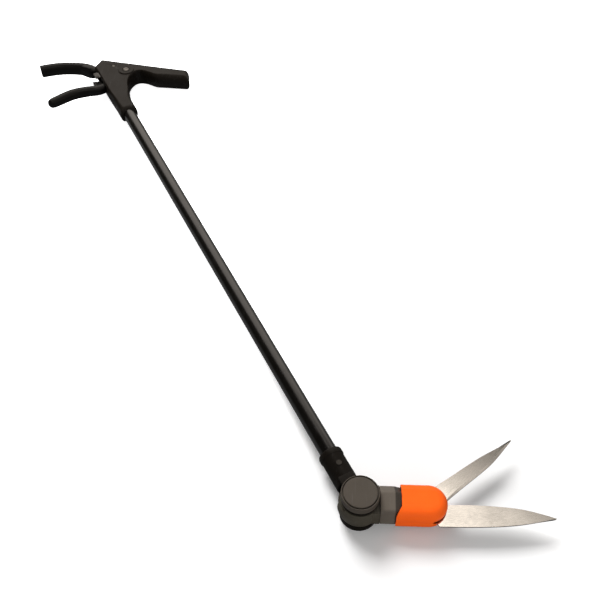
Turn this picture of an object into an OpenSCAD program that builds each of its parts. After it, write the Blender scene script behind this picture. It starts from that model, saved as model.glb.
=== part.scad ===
// Long-handled grass shears lying on their side: a black tube with a T-shaped
// squeeze handle at one end and a swivelling two-blade cutting head at the other.
// The floor is z = 0 and the head tilt axis is the z axis through the origin.

/* [Shaft] */
// Outside diameter of the tube
tube_d = 22; // [18:0.5:26]
// Wall of the tube
tube_wall = 1.2; // [0.8:0.1:2]
// Distance from the tilt axis to the upper end of the tube
tube_top = 925; // [600:1:1100]
// Angle from the head axis to the shaft
tube_angle = 118; // [105:1:130]
// Diameter of the pull rod inside the tube
rod_d = 5; // [4:0.5:6]

/* [Knuckle] */
// Radius of the ball that the head tilts on
ball_r = 26; // [25:0.5:30]
// Height of the tube axis above the floor
axis_h = 24; // [23:0.5:28]
// Radius of the push button and of the far cover
button_r = 22.6; // [21.5:0.1:23]
// Radius of the socket that holds the tube
socket_r = 14.4; // [13.8:0.1:16]
// Distance from the tilt axis to the upper rim of the socket
socket_end = 75; // [60:1:100]
// Largest tilt of the head away from the shaft
tilt_open = 45; // [20:1:50]
// Largest tilt of the head toward the shaft
tilt_close = 15; // [0:1:20]

/* [Head] */
// Corner radius of the six-sided swivel collar
collar_r = 22.6; // [20:0.1:23]
// Distance from the tilt axis to the blade pivot
pivot_x = 80; // [76:0.5:90]
// Half width of the orange cap
cap_w = 22.5; // [22:0.1:25]
// Half thickness of the orange cap
cap_t = 18; // [17:0.1:20]
// Edge radius of the orange cap
cap_round = 13; // [10:0.5:15]
// Thickness of each blade
blade_t = 2.5; // [2:0.1:3]
// Angle of the open moving blade from the head axis
blade_open = 40.4; // [38:0.1:42]
// Distance from the blade pivot to the pin in the tail of the moving blade
tail_arm = 14.5; // [13.5:0.1:15]

/* [Handle] */
// Half thickness of the handle shells
shell_t = 15; // [14:0.5:17]
// Distance of the lever pivot from the tube axis
lever_x = 33.3; // [32:0.1:35]
// Distance of the lever pivot above the upper end of the tube
lever_y = 32; // [31:0.1:34]
// Distance from the lever pivot to the pull pin
pull_arm = 25; // [24:0.1:26]
// Travel of the lever
lever_swing = 24; // [16:1:24]
// Diameter of the rear grip
grip_d = 18; // [16:0.5:19]
// Diameter of the lever bar
lever_d = 18; // [16:0.5:19]

/* [Hidden] */
// Number of sides of a true round
ROUND = 64;
// Turn of a lying round, so that its first edge is off the parting plane
SEAM = 45;
// Running clearance round a turning piece
RUN = 0.05;
// Clearance round a piece that stands still
FIT = 0.03;
// Clearance between a piece that swings and a wall
SWING = 0.4;
// Inside radius of the tube and radius of the rod
tube_in = tube_d / 2 - tube_wall;
rod_r = rod_d / 2;
// Lower ends of the tube and of the rod
tube_low = 35;
rod_low = 44;
// Inner and outer faces of the socket cheeks
cheek_in = 12.6;
cheek_out = 15;
// Radius of the trunnions that the ball turns on
trunnion_r = 10;
// Half height of the hollow in the ball
hollow_t = 7.3;
// Half width of the arms between the socket and its cheeks
arm_w = 10.5;
// Lower end of the socket
socket_low = ball_r + 1;
// Half angle of the cable window in the ball
window_a = 24;
// Radius and end of the tube that the collar turns on
spigot_r = 11;
spigot_end = 44;
// Near and far ends of the swivel collar
collar_near = button_r + 0.8;
collar_far = 48;
// Turn of the collar flats about the head axis
collar_turn = -13.5;
// Rear rim of the orange cap and wall of the cap
cap_rear = collar_far + 0.3;
cap_wall = 2.6;
// How much longer the cap is on its lower side
cap_slant = 6.5;
// Gap between the two blades
blade_gap = 0.1;
// Half height of the blade slot round the nose of the cap
slot_t = blade_t + 0.5;
// Half of the swing that closes the blades, from the pull of the lever
pull_half = pull_arm * sin(lever_swing / 2);
tail_half = asin(pull_half / tail_arm);
// Place of the tail pin with the blades open
tail_pin = [pivot_x + tail_arm * sin(tail_half), -tail_arm * cos(tail_half)];
// Thickness of the draw link and its height above the moving blade
link_z = blade_t + 0.4;
link_t = 2.2;
// Play of the tail pin in the link
link_play = 0.12;
// Place of the pull pin with the lever let go
pull_pin = [lever_x - pull_arm * cos(lever_swing / 2), lever_y - pull_half];
// Radius of the pull cable
cable_r = 1.5;
// Bend of the pull cable at the tilt axis
cable_bend = 14;
cable_turn = 180 - tube_angle;
// Half gap of the forked lever root and half thickness of the lever hub
fork_in = 3.4;
fork_out = 7.5;
// Radius of the lever hub
hub_r = 10;
// Half height of the room for the lever inside the shells
room_t = 8.2;
// Half height of the mouth that the lever bar leaves by
mouth_t = lever_d / 2 + 0.8;
// Lower end of the handle neck, below the upper end of the tube
neck_low = -84;
// Screw places of the shells
SHELL_SCREWS = [[118, -24], [62, 26], [30, 59]];
// Place of the screw in the root of the rear grip
GRIP_SCREW = [16.5, 54.5];
// Screw places of the far cover
COVER_SCREWS = [[0, 14], [0, -14]];
// Screw places of the ball
BALL_SCREWS = [[11, -11.6], [11, 11.6]];
// Screw places of the cap
CAP_SCREWS = [[52.5, 12], [52.5, -12]];

// Places in the frame of the shaft: x to the right of the tube, y up the tube
module on_shaft() {
    translate([0, 0, axis_h]) rotate([0, 0, tube_angle - 90]) children();
}

// Places in the frame of the handle, counted from the upper end of the tube
module on_handle() {
    on_shaft() translate([0, tube_top, 0]) children();
}

// Places in the frame of the head, along its axis
module on_head() {
    translate([0, 0, axis_h]) children();
}

// A round bar along y
module bar_y(from, to, r) {
    translate([0, from, 0]) rotate([-90, 0, 0]) rotate([0, 0, SEAM])
        cylinder(r = r, h = to - from, $fn = ROUND);
}

// A round bar along x
module bar_x(from, to, r) {
    translate([from, 0, 0]) rotate([0, 90, 0]) rotate([0, 0, SEAM])
        cylinder(r = r, h = to - from, $fn = ROUND);
}

// A round bar along z at a place
module bar_z(place, from, to, r) {
    translate([place[0], place[1], from]) cylinder(r = r, h = to - from, $fn = ROUND);
}

// A flat shape between two heights
module slab(from, to) {
    translate([0, 0, from]) linear_extrude(to - from) children();
}

// A block given by two opposite corners
module block(a, b) {
    translate(a) cube(b - a);
}

// A slice of a ring about z between two angles
module sector(from, to, r_in, r_out, low, high) {
    rotate([0, 0, from]) rotate_extrude(angle = to - from, $fn = ROUND)
        translate([r_in, low]) square([r_out - r_in, high - low]);
}

function unit(v) = v / norm(v);
function left(v) = [-v[1], v[0]];
function flat(p) = [p[0], p[1]];
function along(a, b) = unit(flat(b) - flat(a));

// A smooth curve through key points, each with a third value that is carried along
function blend(a, b, c, d, t) =
    0.5 * (2 * b + (c - a) * t + (2 * a - 5 * b + 4 * c - d) * t * t
           + (3 * b - a - 3 * c + d) * t * t * t);
function curve(p, steps) = [
    for (i = [0:len(p) - 2], s = [0:steps - 1])
        blend(p[max(i - 1, 0)], p[i], p[i + 1], p[min(i + 2, len(p) - 1)], s / steps),
    p[len(p) - 1]
];

// An outline drawn in by its third value times a depth
function drawn_in(p, depth) = [
    for (i = [0:len(p) - 1])
        let (n = len(p),
             m = left(along(p[(i + n - 1) % n], p[i])),
             k = left(along(p[i], p[(i + 1) % n])))
            flat(p[i]) + depth * p[i][2] * (m + k) / (1 + m * k)
];

// Triangles between successive rings of n points
function skin(n, bands) = [
    for (j = [0:bands - 1], i = [0:n - 1], half = [0, 1])
        let (a = j * n + i, b = a + n, c = j * n + (i + 1) % n, d = c + n)
            half == 0 ? [a, b, d] : [a, d, c]
];

// A plate whose edge is drawn in level by level, each level a height and a depth
module shaped_plate(outline, levels) {
    n = len(outline);
    top = len(levels) - 1;
    polyhedron(
        points = [for (l = levels) for (q = drawn_in(outline, l[1])) [q[0], q[1], l[0]]],
        faces = concat(
            [[for (i = [0:n - 1]) i]],
            skin(n, top),
            [[for (i = [n - 1:-1:0]) top * n + i]]),
        convexity = 8);
}

// A bar along a flat curve whose points carry the half width, with rounded sides and a share of height
function bulge(c, power) = sign(c) * pow(abs(c), power);
module bent_bar(path, power, sides, tall) {
    n = len(path);
    function across(i) = left(along(path[max(i - 1, 0)], path[min(i + 1, n - 1)]));
    polyhedron(
        points = [for (i = [0:n - 1]) for (s = [0:sides - 1])
            let (a = 360 * s / sides,
                 c = flat(path[i]) + across(i) * bulge(cos(a), power) * path[i][2])
                [c[0], c[1], tall * bulge(sin(a), power) * path[i][2]]],
        faces = concat(
            [[for (s = [0:sides - 1]) s]],
            skin(sides, n - 1),
            [[for (s = [sides - 1:-1:0]) (n - 1) * sides + s]]),
        convexity = 6);
}

// A coil spring about z with closed ends, its wire one unbroken tube
module coil(r, wire, length, turns) {
    rings = turns * 8;
    sides = 6;
    lead = (length - 2 * wire) / turns;
    echo(coil_self_gap = lead - 2 * wire);
    function spot(i) = [r * cos(45 * i), r * sin(45 * i), wire + lead * i / 8];
    polyhedron(
        points = [for (i = [0:rings]) for (s = [0:sides - 1])
            let (a = 360 * s / sides)
                spot(i) + wire * [cos(45 * i) * cos(a), sin(45 * i) * cos(a), -sin(a)]],
        faces = concat(
            [[for (s = [0:sides - 1]) s]],
            skin(sides, rings),
            [[for (s = [sides - 1:-1:0]) rings * sides + s]]),
        convexity = 6);
}

// Shaft

// Painted tube between the knuckle and the handle
module tube() {
    color("#2b2826") on_shaft() difference() {
        bar_y(tube_low, tube_top, tube_d / 2);
        bar_y(tube_low - 1, tube_top + 1, tube_in);
        bar_z([0, tube_top - 40], -tube_d, 0, 2.05);
        bar_z([0, 52], -tube_d, tube_d, 2.05);
    }
}

// Steel rod that carries the pull down the tube, bored at its foot for the cable
module pull_rod() {
    color("#b9bcc0") on_shaft() difference() {
        bar_y(rod_low, tube_top + 14, rod_r);
        bar_y(rod_low - 1, rod_low + 7, cable_r + FIT);
    }
}

// Flat head on the rod with a cross slot for the pull pin
module rod_head() {
    color("#8d9096") on_handle() difference() {
        slab(-3, 3) polygon([[-5, 5], [5, 5], [5, 14], [pull_pin[0] + 6, pull_pin[1] - 6],
            [pull_pin[0] + 6, pull_pin[1] + 6], [pull_pin[0] - 6, pull_pin[1] + 6], [-5, 16]]);
        bar_y(0, 14 + FIT, rod_r + FIT);
        for (s = [-0.65, 0.65]) bar_z(pull_pin + [s, 0], -4, 4, 2.5 + RUN);
        slab(-4, 4) translate(pull_pin - [0.65, 2.5 + RUN]) square([1.3, 5 + 2 * RUN]);
    }
}

// Moulded guide that keeps the rod in the middle of the tube
module rod_guide(at) {
    color("#d8d4c8") on_shaft() difference() {
        bar_y(at, at + 10, tube_in - FIT);
        bar_y(at - 1, at + 11, rod_r + RUN);
    }
}

module rod_guide_upper() {
    rod_guide(tube_top - 30);
}

module rod_guide_lower() {
    rod_guide(tube_low + 40);
}

// Steel cable that carries the pull round the tilt axis into the head
module pull_cable() {
    reach = cable_bend * tan(cable_turn / 2);
    up = [cos(tube_angle), sin(tube_angle)];
    bend = [for (i = [0:6])
        [reach, cable_bend] + cable_bend * [cos(-90 - cable_turn * i / 6), sin(-90 - cable_turn * i / 6)]];
    color("#9a9da2") on_head()
        bent_bar(with_radius(concat([[31, 0]], bend, [(rod_low + 6) * up]), cable_r), 1, 12, 1);
}

// Handle

// Outline of both shells: neck, arm-pit curve, front grip, back edge, chamfered corner
armpit = curve([[15.5, -52, 1], [17, -38, 0.6], [20, -24, 0.3], [25.5, -4, 0.3], [34.5, 11, 0.3],
                [46, 19.5, 0.3], [55.5, 19, 0.3], [64, 10.5, 0.4], [73, -6, 0.7], [81, -13.8, 1]], 4);
back = curve([[138, -14.5, 1], [100, 15, 1], [50, 54.5, 1], [3, 91, 0.9]], 3);
HANDLE = concat([[-15.5, neck_low, 1], [15.5, neck_low, 1]], armpit,
    [[95, -22.5, 1], [128, -43.5, 1]], back,
    [[-16.6, 70, 0.45], [-15.8, -20, 0.45], [-15.2, -50, 0.7]]);

// Rounded edge of a shell, as heights and depths in shares of its thickness. It starts
// below the parting plane and ends above the flat face, which are cut afterwards.
EDGE = [[-0.1, 0], [0.3, 0.02], [0.55, 0.08], [0.75, 0.19], [0.9, 0.34], [0.98, 0.5], [1.02, 0.7]];

// Room inside the shells for the lever, the rod head and the pull pin
module lever_room() {
    slab(-room_t, room_t) {
        translate([lever_x, lever_y]) circle(r = hub_r + 1, $fn = ROUND);
        polygon([[-8, -1], [8, -1], [18, 12], [lever_x + 5, lever_y - 9.5],
            [lever_x + 3, lever_y + 10.5], [10, 52], [-17, 55], [-17, 3]]);
    }
    block([-40, 0, -mouth_t], [-9, 58, mouth_t]);
}

// Hollow of the front grip
module grip_hollow() {
    slab(-9, 9) polygon([[66, 22], [79, 11], [108, -10], [108, -22], [82, -5], [70, 9]]);
}

// Pocket for the root of the rear grip
GRIP_ROOT = [[-30, 62], [9, 57.5], [13, 52.6], [20, 51.4], [21.5, 58], [15, 75], [-30, 84]];

module handle_shell(side) {
    on_handle() difference() {
        union() {
            mirror([0, 0, side < 0 ? 1 : 0]) intersection() {
                shaped_plate(HANDLE, [for (e = EDGE) [e[0] * shell_t, e[1] * shell_t]]);
                block([-40, neck_low - 10, 0], [160, 110, shell_t]);
            }
            if (side > 0) bar_z([lever_x, lever_y], shell_t - 1, shell_t + 1.6, 14.5);
        }
        bar_y(neck_low - 1, FIT, tube_d / 2 + FIT);
        bar_y(-1, 12, 6);
        lever_room();
        grip_hollow();
        slab(-8 - FIT, 8 + FIT) polygon(GRIP_ROOT);
        bar_z([lever_x, lever_y], -shell_t - 1, shell_t + 3, 3 + FIT);
        if (side > 0) {
            bar_z([lever_x, lever_y], shell_t + 0.2, shell_t + 3, 6);
            bar_z(GRIP_SCREW, 0, shell_t + 1, 1.6);
            bar_z(GRIP_SCREW, shell_t - 1.6, shell_t + 1, 3.3);
            block([-40, 34, 9.4], [-6, 51, 12.2]);
        }
        if (side < 0) {
            translate([lever_x, lever_y, -shell_t - 1]) cylinder(r = 6, h = 4.2, $fn = 6);
            bar_z([0, -40], -shell_t - 1, 0, 2.05);
            bar_z([0, -40], -shell_t - 1, 2.1 - shell_t, 4);
            bar_z(GRIP_SCREW, -11, 0, 1.5 + FIT);
        }
        for (p = SHELL_SCREWS) {
            bar_z(p, -shell_t - 1, 10, 1.5 + FIT);
            bar_z(p, -shell_t - 1, 2.5 - shell_t, 3.5);
        }
    }
}

// Shell that faces up, with the round boss over the lever pivot
module handle_shell_near() {
    color("#2a2724") handle_shell(1);
}

// Shell that faces the floor, with the screw wells
module handle_shell_far() {
    color("#262321") handle_shell(-1);
}

// A countersunk screw from the far side
module far_screw(place, head_z, tip_z, head_r, shank_r) {
    bar_z(place, head_z, head_z + 2, head_r);
    bar_z(place, head_z + 2, tip_z, shank_r);
}

// Screws that join the shells
module shell_screws() {
    color("#a8abb0") on_handle() for (p = SHELL_SCREWS) difference() {
        far_screw(p, 0.5 - shell_t, 9.5, 3.2, 1.5);
        block([p[0] - 2.4, p[1] - 0.4, -shell_t], [p[0] + 2.4, p[1] + 0.4, 1.3 - shell_t]);
    }
}

// Screw that holds the shells to the tube
module tube_screw() {
    color("#a8abb0") on_handle() difference() {
        far_screw([0, -40], -shell_t, -8, 3.7, 2);
        block([-2.6, -40.5, -shell_t - 1], [2.6, -39.5, 1 - shell_t]);
    }
}

// Centre line of the rear grip from its thick root to its square end
REAR = curve([[-20, 74, 9], [-24, 82.5, 9.4], [-31, 90.5, 9.6], [-50.6, 102.7, 9.6], [-72, 112, 9.6],
              [-94.5, 116.8, 9.6], [-106, 117.8, 9.6]], 4);
GRIP_TALL = 1.14;
REAR_BARE = 8;
function with_radius(p, r) = [for (q = p) [q[0], q[1], r]];
function from_to(p, a, b) = [for (i = [a:b]) p[i]];

// Hard core of the rear grip, its flat root held between the shells
module rear_grip_core() {
    last = len(REAR) - 1;
    color("#1d1b1a") on_handle() {
        difference() {
            union() {
                slab(-8, 8) polygon([[-29, 66], [8.6, 58.2], [13.4, 53.2], [19.5, 52.1], [20.8, 58],
                    [14.6, 74.6], [-16, 81], [-24, 85], [-32, 80]]);
                slab(-11, 11) polygon([[-31, 67], [-18, 65], [-18, 70], [-11.6, 77], [-20, 86], [-34, 82]]);
            }
            bar_z(GRIP_SCREW, -9, 9, 1.5 + FIT);
        }
        bent_bar(from_to(REAR, 0, REAR_BARE - 1), 0.8, 20, GRIP_TALL);
        bent_bar(with_radius(from_to(REAR, REAR_BARE - 2, last - 2), 5.5), 0.8, 16, 1);
    }
}

// Soft sleeve over the rear grip
module rear_grip_sleeve() {
    last = len(REAR) - 1;
    scaled = [for (q = from_to(REAR, REAR_BARE, last)) [q[0], q[1], q[2] * grip_d / 18]];
    color("#161514") on_handle() difference() {
        bent_bar(scaled, 0.8, 20, GRIP_TALL);
        bent_bar(with_radius(from_to(REAR, REAR_BARE - 2, last - 1), 5.6), 0.8, 16, 1);
    }
}

// Screw that pins the root of the rear grip
module grip_screw() {
    color("#c9ccd0") on_handle() difference() {
        union() {
            bar_z(GRIP_SCREW, -10.5, shell_t - 1.5, 1.5);
            bar_z(GRIP_SCREW, shell_t - 1.5, shell_t + 0.4, 3.1);
        }
        translate([GRIP_SCREW[0], GRIP_SCREW[1], shell_t - 0.4]) block([-2.4, -0.4, 0], [2.4, 0.4, 2]);
    }
}

// Centre line of the lever bar from its root to its rounded tip
LEVER = curve([[-12.5, 16, 8], [-28, 13.8, 8.4], [-51, 19.3, 8.8], [-74, 21, 9], [-98.6, 15, 8.8],
               [-112, 11.2, 8.2]], 4);
TIP = [[-116, 10.1, 7.2], [-119, 9.3, 5.2], [-120.7, 8.9, 2.8]];

// Squeeze lever, forked at its root to straddle the rod head
module squeeze_lever() {
    reach = [lever_x + 13.5, lever_y - 16.5];
    side = left(unit(reach));
    hub = [lever_x, lever_y];
    color("#1f1d1b") on_handle() difference() {
        union() {
            bent_bar([for (q = concat(LEVER, TIP)) [q[0], q[1], q[2] * lever_d / 18]], 0.8, 20, 1);
            slab(-fork_out, fork_out) polygon([hub + side * 9.4, [-13.5, 16.5] + side * 7,
                [-13.5, 16.5] - side * 7, hub - side * 9.4]);
            slab(-4.5, 4.5) polygon([[-30, 15], [-30, 35.5], [-20, 33], [-11, 29], [-11, 15]]);
            for (i = [0:4]) block([-29.4 + 2.6 * i, 16, 4], [-28 + 2.6 * i, 32.5, 5.4]);
            bar_z(hub, -fork_out, fork_out, hub_r);
        }
        block([-9.5, -5, -fork_in], [lever_x - hub_r - 4, 50, fork_in]);
        bar_z(hub, -fork_out - 1, fork_out + 1, 5 + FIT);
        bar_z(pull_pin, -fork_out - 1, fork_out + 1, 2.5 + FIT);
    }
}

// Bush in the lever hub
module lever_bush() {
    color("#b08d4a") on_handle() difference() {
        bar_z([lever_x, lever_y], -fork_out, fork_out, 5);
        bar_z([lever_x, lever_y], -fork_out - 1, fork_out + 1, 3 + RUN);
    }
}

// Slotted screw that the lever turns on
module lever_pivot_screw() {
    color("#cfd2d6") on_handle() difference() {
        union() {
            bar_z([lever_x, lever_y], -shell_t + 0.4, shell_t + 0.3, 3);
            bar_z([lever_x, lever_y], shell_t + 0.3, shell_t + 2.2, 5.4);
        }
        block([lever_x - 4, lever_y - 0.6, shell_t + 1.4], [lever_x + 4, lever_y + 0.6, shell_t + 4]);
    }
}

// Nut of the lever pivot in the far shell
module lever_pivot_nut() {
    color("#a8abb0") on_handle() difference() {
        translate([lever_x, lever_y, -shell_t + 0.2]) cylinder(r = 5.6, h = 2.8, $fn = 6);
        bar_z([lever_x, lever_y], -shell_t - 1, 0, 3 + FIT);
    }
}

// Pin across the lever fork that draws the rod
module pull_pin_steel() {
    color("#c4c7cb") on_handle() bar_z(pull_pin, -fork_out, fork_out, 2.5);
}

// Ribbed lock slide in the mouth of the near shell
module lock_slide() {
    color("#4a4641") on_handle() {
        block([-24, 35, 9.6], [-7, 50, 12]);
        block([-24, 36, 11.9], [-16.8, 49, 13]);
        for (i = [0:2]) block([-23.4 + 2.4 * i, 36, 12.9], [-22.2 + 2.4 * i, 49, 14.2]);
    }
}

// Knuckle

// Half of the socket that holds the tube, with one cheek and its trunnion
module socket_half(side) {
    on_shaft() difference() {
        union() {
            intersection() {
                union() {
                    bar_y(socket_low, socket_end, socket_r);
                    bar_y(socket_end - 8, socket_end - 1, socket_r + 0.9);
                    bar_y(socket_end - 1, socket_end, socket_r + 0.4);
                }
                block([-30, 0, side > 0 ? 0 : -30], [30, 200, side > 0 ? 30 : 0]);
            }
            mirror([0, 0, side < 0 ? 1 : 0]) {
                bar_z([0, 0], cheek_in, cheek_out, button_r - 0.6);
                block([-arm_w, 0, cheek_in], [arm_w, socket_low + 8, cheek_out]);
                bar_z([0, 0], 8, cheek_in, trunnion_r);
                if (side > 0) bar_z([0, 0], cheek_out, 21, 19);
            }
        }
        bar_y(tube_low - FIT, socket_end + 1, tube_d / 2 + FIT);
        bar_y(0, tube_low, 6);
        if (side > 0) bar_z([0, 0], 0, 30, 4.1);
        if (side > 0) bar_z([0, 0], 16.5, 22, 9);
        if (side < 0) for (p = COVER_SCREWS) bar_z(p, -30, 0, 1.5 + FIT);
        bar_z([0, 52], -30, 30, 2 + FIT);
    }
}

module socket_near() {
    color("#2d2a27") socket_half(1);
}

module socket_far() {
    color("#282523") socket_half(-1);
}

// Rivet through the socket and the tube, hollow so that the rod clears it
module socket_rivet() {
    color("#6d6a66") on_shaft() for (s = [1, -1]) mirror([0, 0, s < 0 ? 1 : 0]) {
        bar_z([0, 52], 8.4, socket_r - 0.2, 2);
        bar_z([0, 52], socket_r + 0.02, socket_r + 1.2, 3.4);
        bar_z([0, 52], socket_r - 0.3, socket_r + 0.1, 2);
    }
}

// Push button that frees the tilt, a cup over the hub of the near cheek
module tilt_button() {
    color("#34302c") on_shaft() difference() {
        union() {
            translate([0, 0, 17.8]) rotate_extrude($fn = ROUND) polygon([[0, 7.2], [15, 7.2], [15, 6.2],
                [19.3, 6.2], [19.3, 0], [button_r, 0], [button_r, 8.9], [button_r - 0.5, 9.5],
                [button_r - 1.2, 9.5], [button_r - 1.2, 7.1], [button_r - 2.6, 7.1], [button_r - 2.6, 9.7],
                [button_r - 3.1, 10.2], [0, 10.2]]);
            bar_z([0, 0], 6.6, 26, 4);
        }
        sector(0, 360, 3.2, 5, 7, 7.8);
    }
}

// Spring under the button
module button_spring() {
    color("#b9bcc0") on_shaft() translate([0, 0, 16.6]) coil(6.4, 0.5, 8.3, 3);
}

// Clip that keeps the button in
module button_clip() {
    color("#8d9096") on_shaft() sector(20, 340, 3.24, 6.4, 7.05, 7.75);
}

// Flat far cover that the knuckle rests on
module far_cover() {
    color("#2a2724") on_shaft() difference() {
        translate([0, 0, -axis_h]) rotate_extrude($fn = ROUND) union() {
            translate([0, 1.5]) square([button_r, axis_h - 1.5 - cheek_out - 0.05]);
            square([button_r - 1.5, 3]);
            translate([button_r - 1.5, 1.5]) circle(r = 1.5, $fn = 32);
        }
        for (p = COVER_SCREWS) {
            bar_z(p, -axis_h - 1, -cheek_out + 1, 1.5 + FIT);
            bar_z(p, -axis_h - 1, 3 - axis_h, 3.4);
        }
    }
}

// Screws that hold the far cover
module cover_screws() {
    color("#a8abb0") on_shaft() for (p = COVER_SCREWS) difference() {
        far_screw(p, 1 - axis_h, -cheek_in - 0.2, 3.2, 1.5);
        block([p[0] - 2.4, p[1] - 0.4, -axis_h], [p[0] + 2.4, p[1] + 0.4, 1.8 - axis_h]);
    }
}

// Half of the ball with its shoulder and the tube that the collar turns on
module knuckle_half(side) {
    seat = cheek_in - 0.3;
    on_head() mirror([0, 0, side < 0 ? 1 : 0]) difference() {
        union() {
            rotate_extrude($fn = 96) difference() {
                intersection() {
                    circle(r = ball_r, $fn = 96);
                    square([40, 40]);
                }
                translate([-1, seat]) square([ball_r + 2, 40]);
            }
            intersection() {
                bar_x(1, collar_near - 0.5, 22);
                block([0, -40, 0], [80, 40, seat]);
            }
            intersection() {
                bar_x(12, spigot_end, spigot_r);
                block([0, -40, 0], [80, 40, seat]);
            }
        }
        bar_z([0, 0], -1, 20, trunnion_r + RUN);
        difference() {
            bar_z([0, 0], -1, hollow_t, 18);
            for (p = BALL_SCREWS) bar_z(p, -2, hollow_t + 1, 3.4);
        }
        sector(tube_angle - tilt_close - window_a, tube_angle + tilt_open + window_a,
               17, 40, -1, hollow_t);
        if (side > 0) sector(150, 222, button_r + 0.1, ball_r - 1.8, 8.3, 40);
        bar_x(10, spigot_end - 3, 7);
        bar_x(11, spigot_end + 1, rod_r + 0.5);
        for (p = BALL_SCREWS) {
            bar_z(p, -1, side > 0 ? 8 : 30, 1.3 + FIT);
            if (side < 0) bar_z(p, 9.6, 30, 2.7);
        }
    }
}

module knuckle_near() {
    color("#33302b") knuckle_half(1);
}

module knuckle_far() {
    color("#2f2c28") knuckle_half(-1);
}

// Screws that join the halves of the ball
module knuckle_screws() {
    color("#a8abb0") on_head() for (p = BALL_SCREWS) {
        bar_z(p, -11.4, -9.6, 2.5);
        bar_z(p, -9.7, 7.5, 1.3);
    }
}

// Ring on the ball's tube that keeps the collar on
module swivel_retainer() {
    color("#8d9096") on_head() difference() {
        bar_x(38.4, 41.4, 14.4);
        bar_x(38, 42, spigot_r + FIT);
    }
}

// Six-sided collar that turns on the ball and carries the cap
module swivel_collar() {
    color("#2b2926") on_head() difference() {
        union() {
            rotate([collar_turn, 0, 0]) {
                translate([collar_near, 0, 0]) rotate([0, 90, 0])
                    cylinder(r = collar_r, h = collar_far - collar_near - 7, $fn = 6);
                translate([collar_far - 7.01, 0, 0]) rotate([0, 90, 0])
                    cylinder(r1 = collar_r, r2 = collar_r - 1.6, h = 7.01, $fn = 6);
            }
            block([collar_far - 1, -16.6, -12.2], [57, 16.6, 12.2]);
        }
        sphere(r = ball_r + SWING, $fn = 96);
        bar_x(0, 60, 7.2);
        bar_x(0, 38, spigot_r + RUN);
        bar_x(38, 45, 15);
        for (p = CAP_SCREWS) bar_z(p, -20, 20, 1.8 + FIT);
        difference() {
            slab(-30, 30) polygon([[collar_far, -9.6], [collar_far - cap_slant, -21.6],
                [collar_far - cap_slant, -40], [70, -40], [70, -9.6]]);
            cap_solid(30, cap_w - cap_wall - 0.3, cap_t - cap_wall - 0.3, cap_round - cap_wall - 0.3);
        }
    }
}

// Cutting head

// Cross-section of the cap: a block with round edges
module cap_section(w, t, r) {
    square([2 * w, 2 * (t - r)], center = true);
    square([2 * (w - r), 2 * t], center = true);
    for (a = [1, -1], b = [1, -1]) translate([a * (w - r), b * (t - r)]) circle(r = r, $fn = ROUND);
}

// The cap as a solid: a straight run and a nose turned about the blade pivot
module cap_solid(from, w, t, r) {
    translate([from, 0, 0]) rotate([90, 0, 90]) linear_extrude(pivot_x - from) cap_section(w, t, r);
    translate([pivot_x, 0, 0]) rotate([0, 0, -90]) rotate_extrude(angle = 180, $fn = ROUND)
        intersection() {
            cap_section(w, t, r);
            translate([0, -t - 1]) square([w + 1, 2 * t + 2]);
        }
}

module cap_half(side) {
    on_head() difference() {
        intersection() {
            difference() {
                cap_solid(cap_rear - cap_slant, cap_w, cap_t, cap_round);
                difference() {
                    cap_solid(cap_rear - 10, cap_w - cap_wall, cap_t - cap_wall, cap_round - cap_wall);
                    mirror([0, 0, side < 0 ? 1 : 0]) {
                        bar_z([pivot_x, 0], side > 0 ? link_z + 0.2 : blade_t + 0.3, 20, side > 0 ? 6.4 : 9);
                        for (p = CAP_SCREWS) bar_z(p, 12.5, 20, 4.4);
                    }
                }
            }
            block([0, -40, side > 0 ? 0 : -40], [200, 40, side > 0 ? 40 : 0]);
        }
        slab(-30, 30) polygon([[30, 40], [cap_rear, 40], [cap_rear, -10], [cap_rear - cap_slant, -22],
            [cap_rear - cap_slant, -40], [30, -40]]);
        block([70, 0, -slot_t], [140, 40, slot_t]);
        block([85.3, -40, -slot_t], [140, 1, slot_t]);
        bar_z([pivot_x, 0], -30, 30, 3 + FIT);
        bar_z([pivot_x, 0], side > 0 ? 13.4 : -40, side > 0 ? 40 : -14, side > 0 ? 3 : 6.6);
        for (p = CAP_SCREWS) {
            bar_z(p, -30, side > 0 ? 15 : 30, 1.5 + FIT);
            if (side < 0) bar_z(p, -30, 2.4 - cap_t, 3.3);
        }
    }
}

// Orange cap half that faces up
module cap_near() {
    color("#f0642a") cap_half(1);
}

// Orange cap half that faces the floor
module cap_far() {
    color("#e85c24") cap_half(-1);
}

// Screws that hold the cap halves to the collar
module cap_screws() {
    color("#a8abb0") on_head() for (p = CAP_SCREWS) difference() {
        far_screw(p, 0.4 - cap_t, 14.5, 3, 1.5);
        block([p[0] - 2.2, p[1] - 0.4, -cap_t], [p[0] + 2.2, p[1] + 0.4, 1.2 - cap_t]);
    }
}

// Fixed blade along the head axis, ground on its far face
module fixed_blade() {
    spine = curve([[92, -25.4, 0.1], [127, -24.8, 0.1], [158, -23.2, 0.1], [184, -20.3, 0.1],
                   [208, -15.8, 0.2], [228.3, -10.6, 0.4]], 4);
    edge = curve([[228.3, -10.6, 0.4], [209.5, -5, 1], [187, 0, 1], [160.7, 2.3, 1], [129.5, 3.1, 1],
                  [102.6, 2.2, 0.6]], 4);
    heel = [[92, 9, 0], [82, 12, 0], [64, 12, 0], [64, -12, 0], [80, -14, 0], [89.5, -22, 0.1]];
    low = -blade_gap / 2 - blade_t;
    color("#c6c8ca") on_head() difference() {
        shaped_plate(concat(from_to(spine, 0, len(spine) - 2), edge, heel),
            [[low, 3], [low + blade_t * 0.7, 0], [low + blade_t, 0]]);
        bar_z([pivot_x, 0], -10, 10, 3 + FIT);
    }
}

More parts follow.
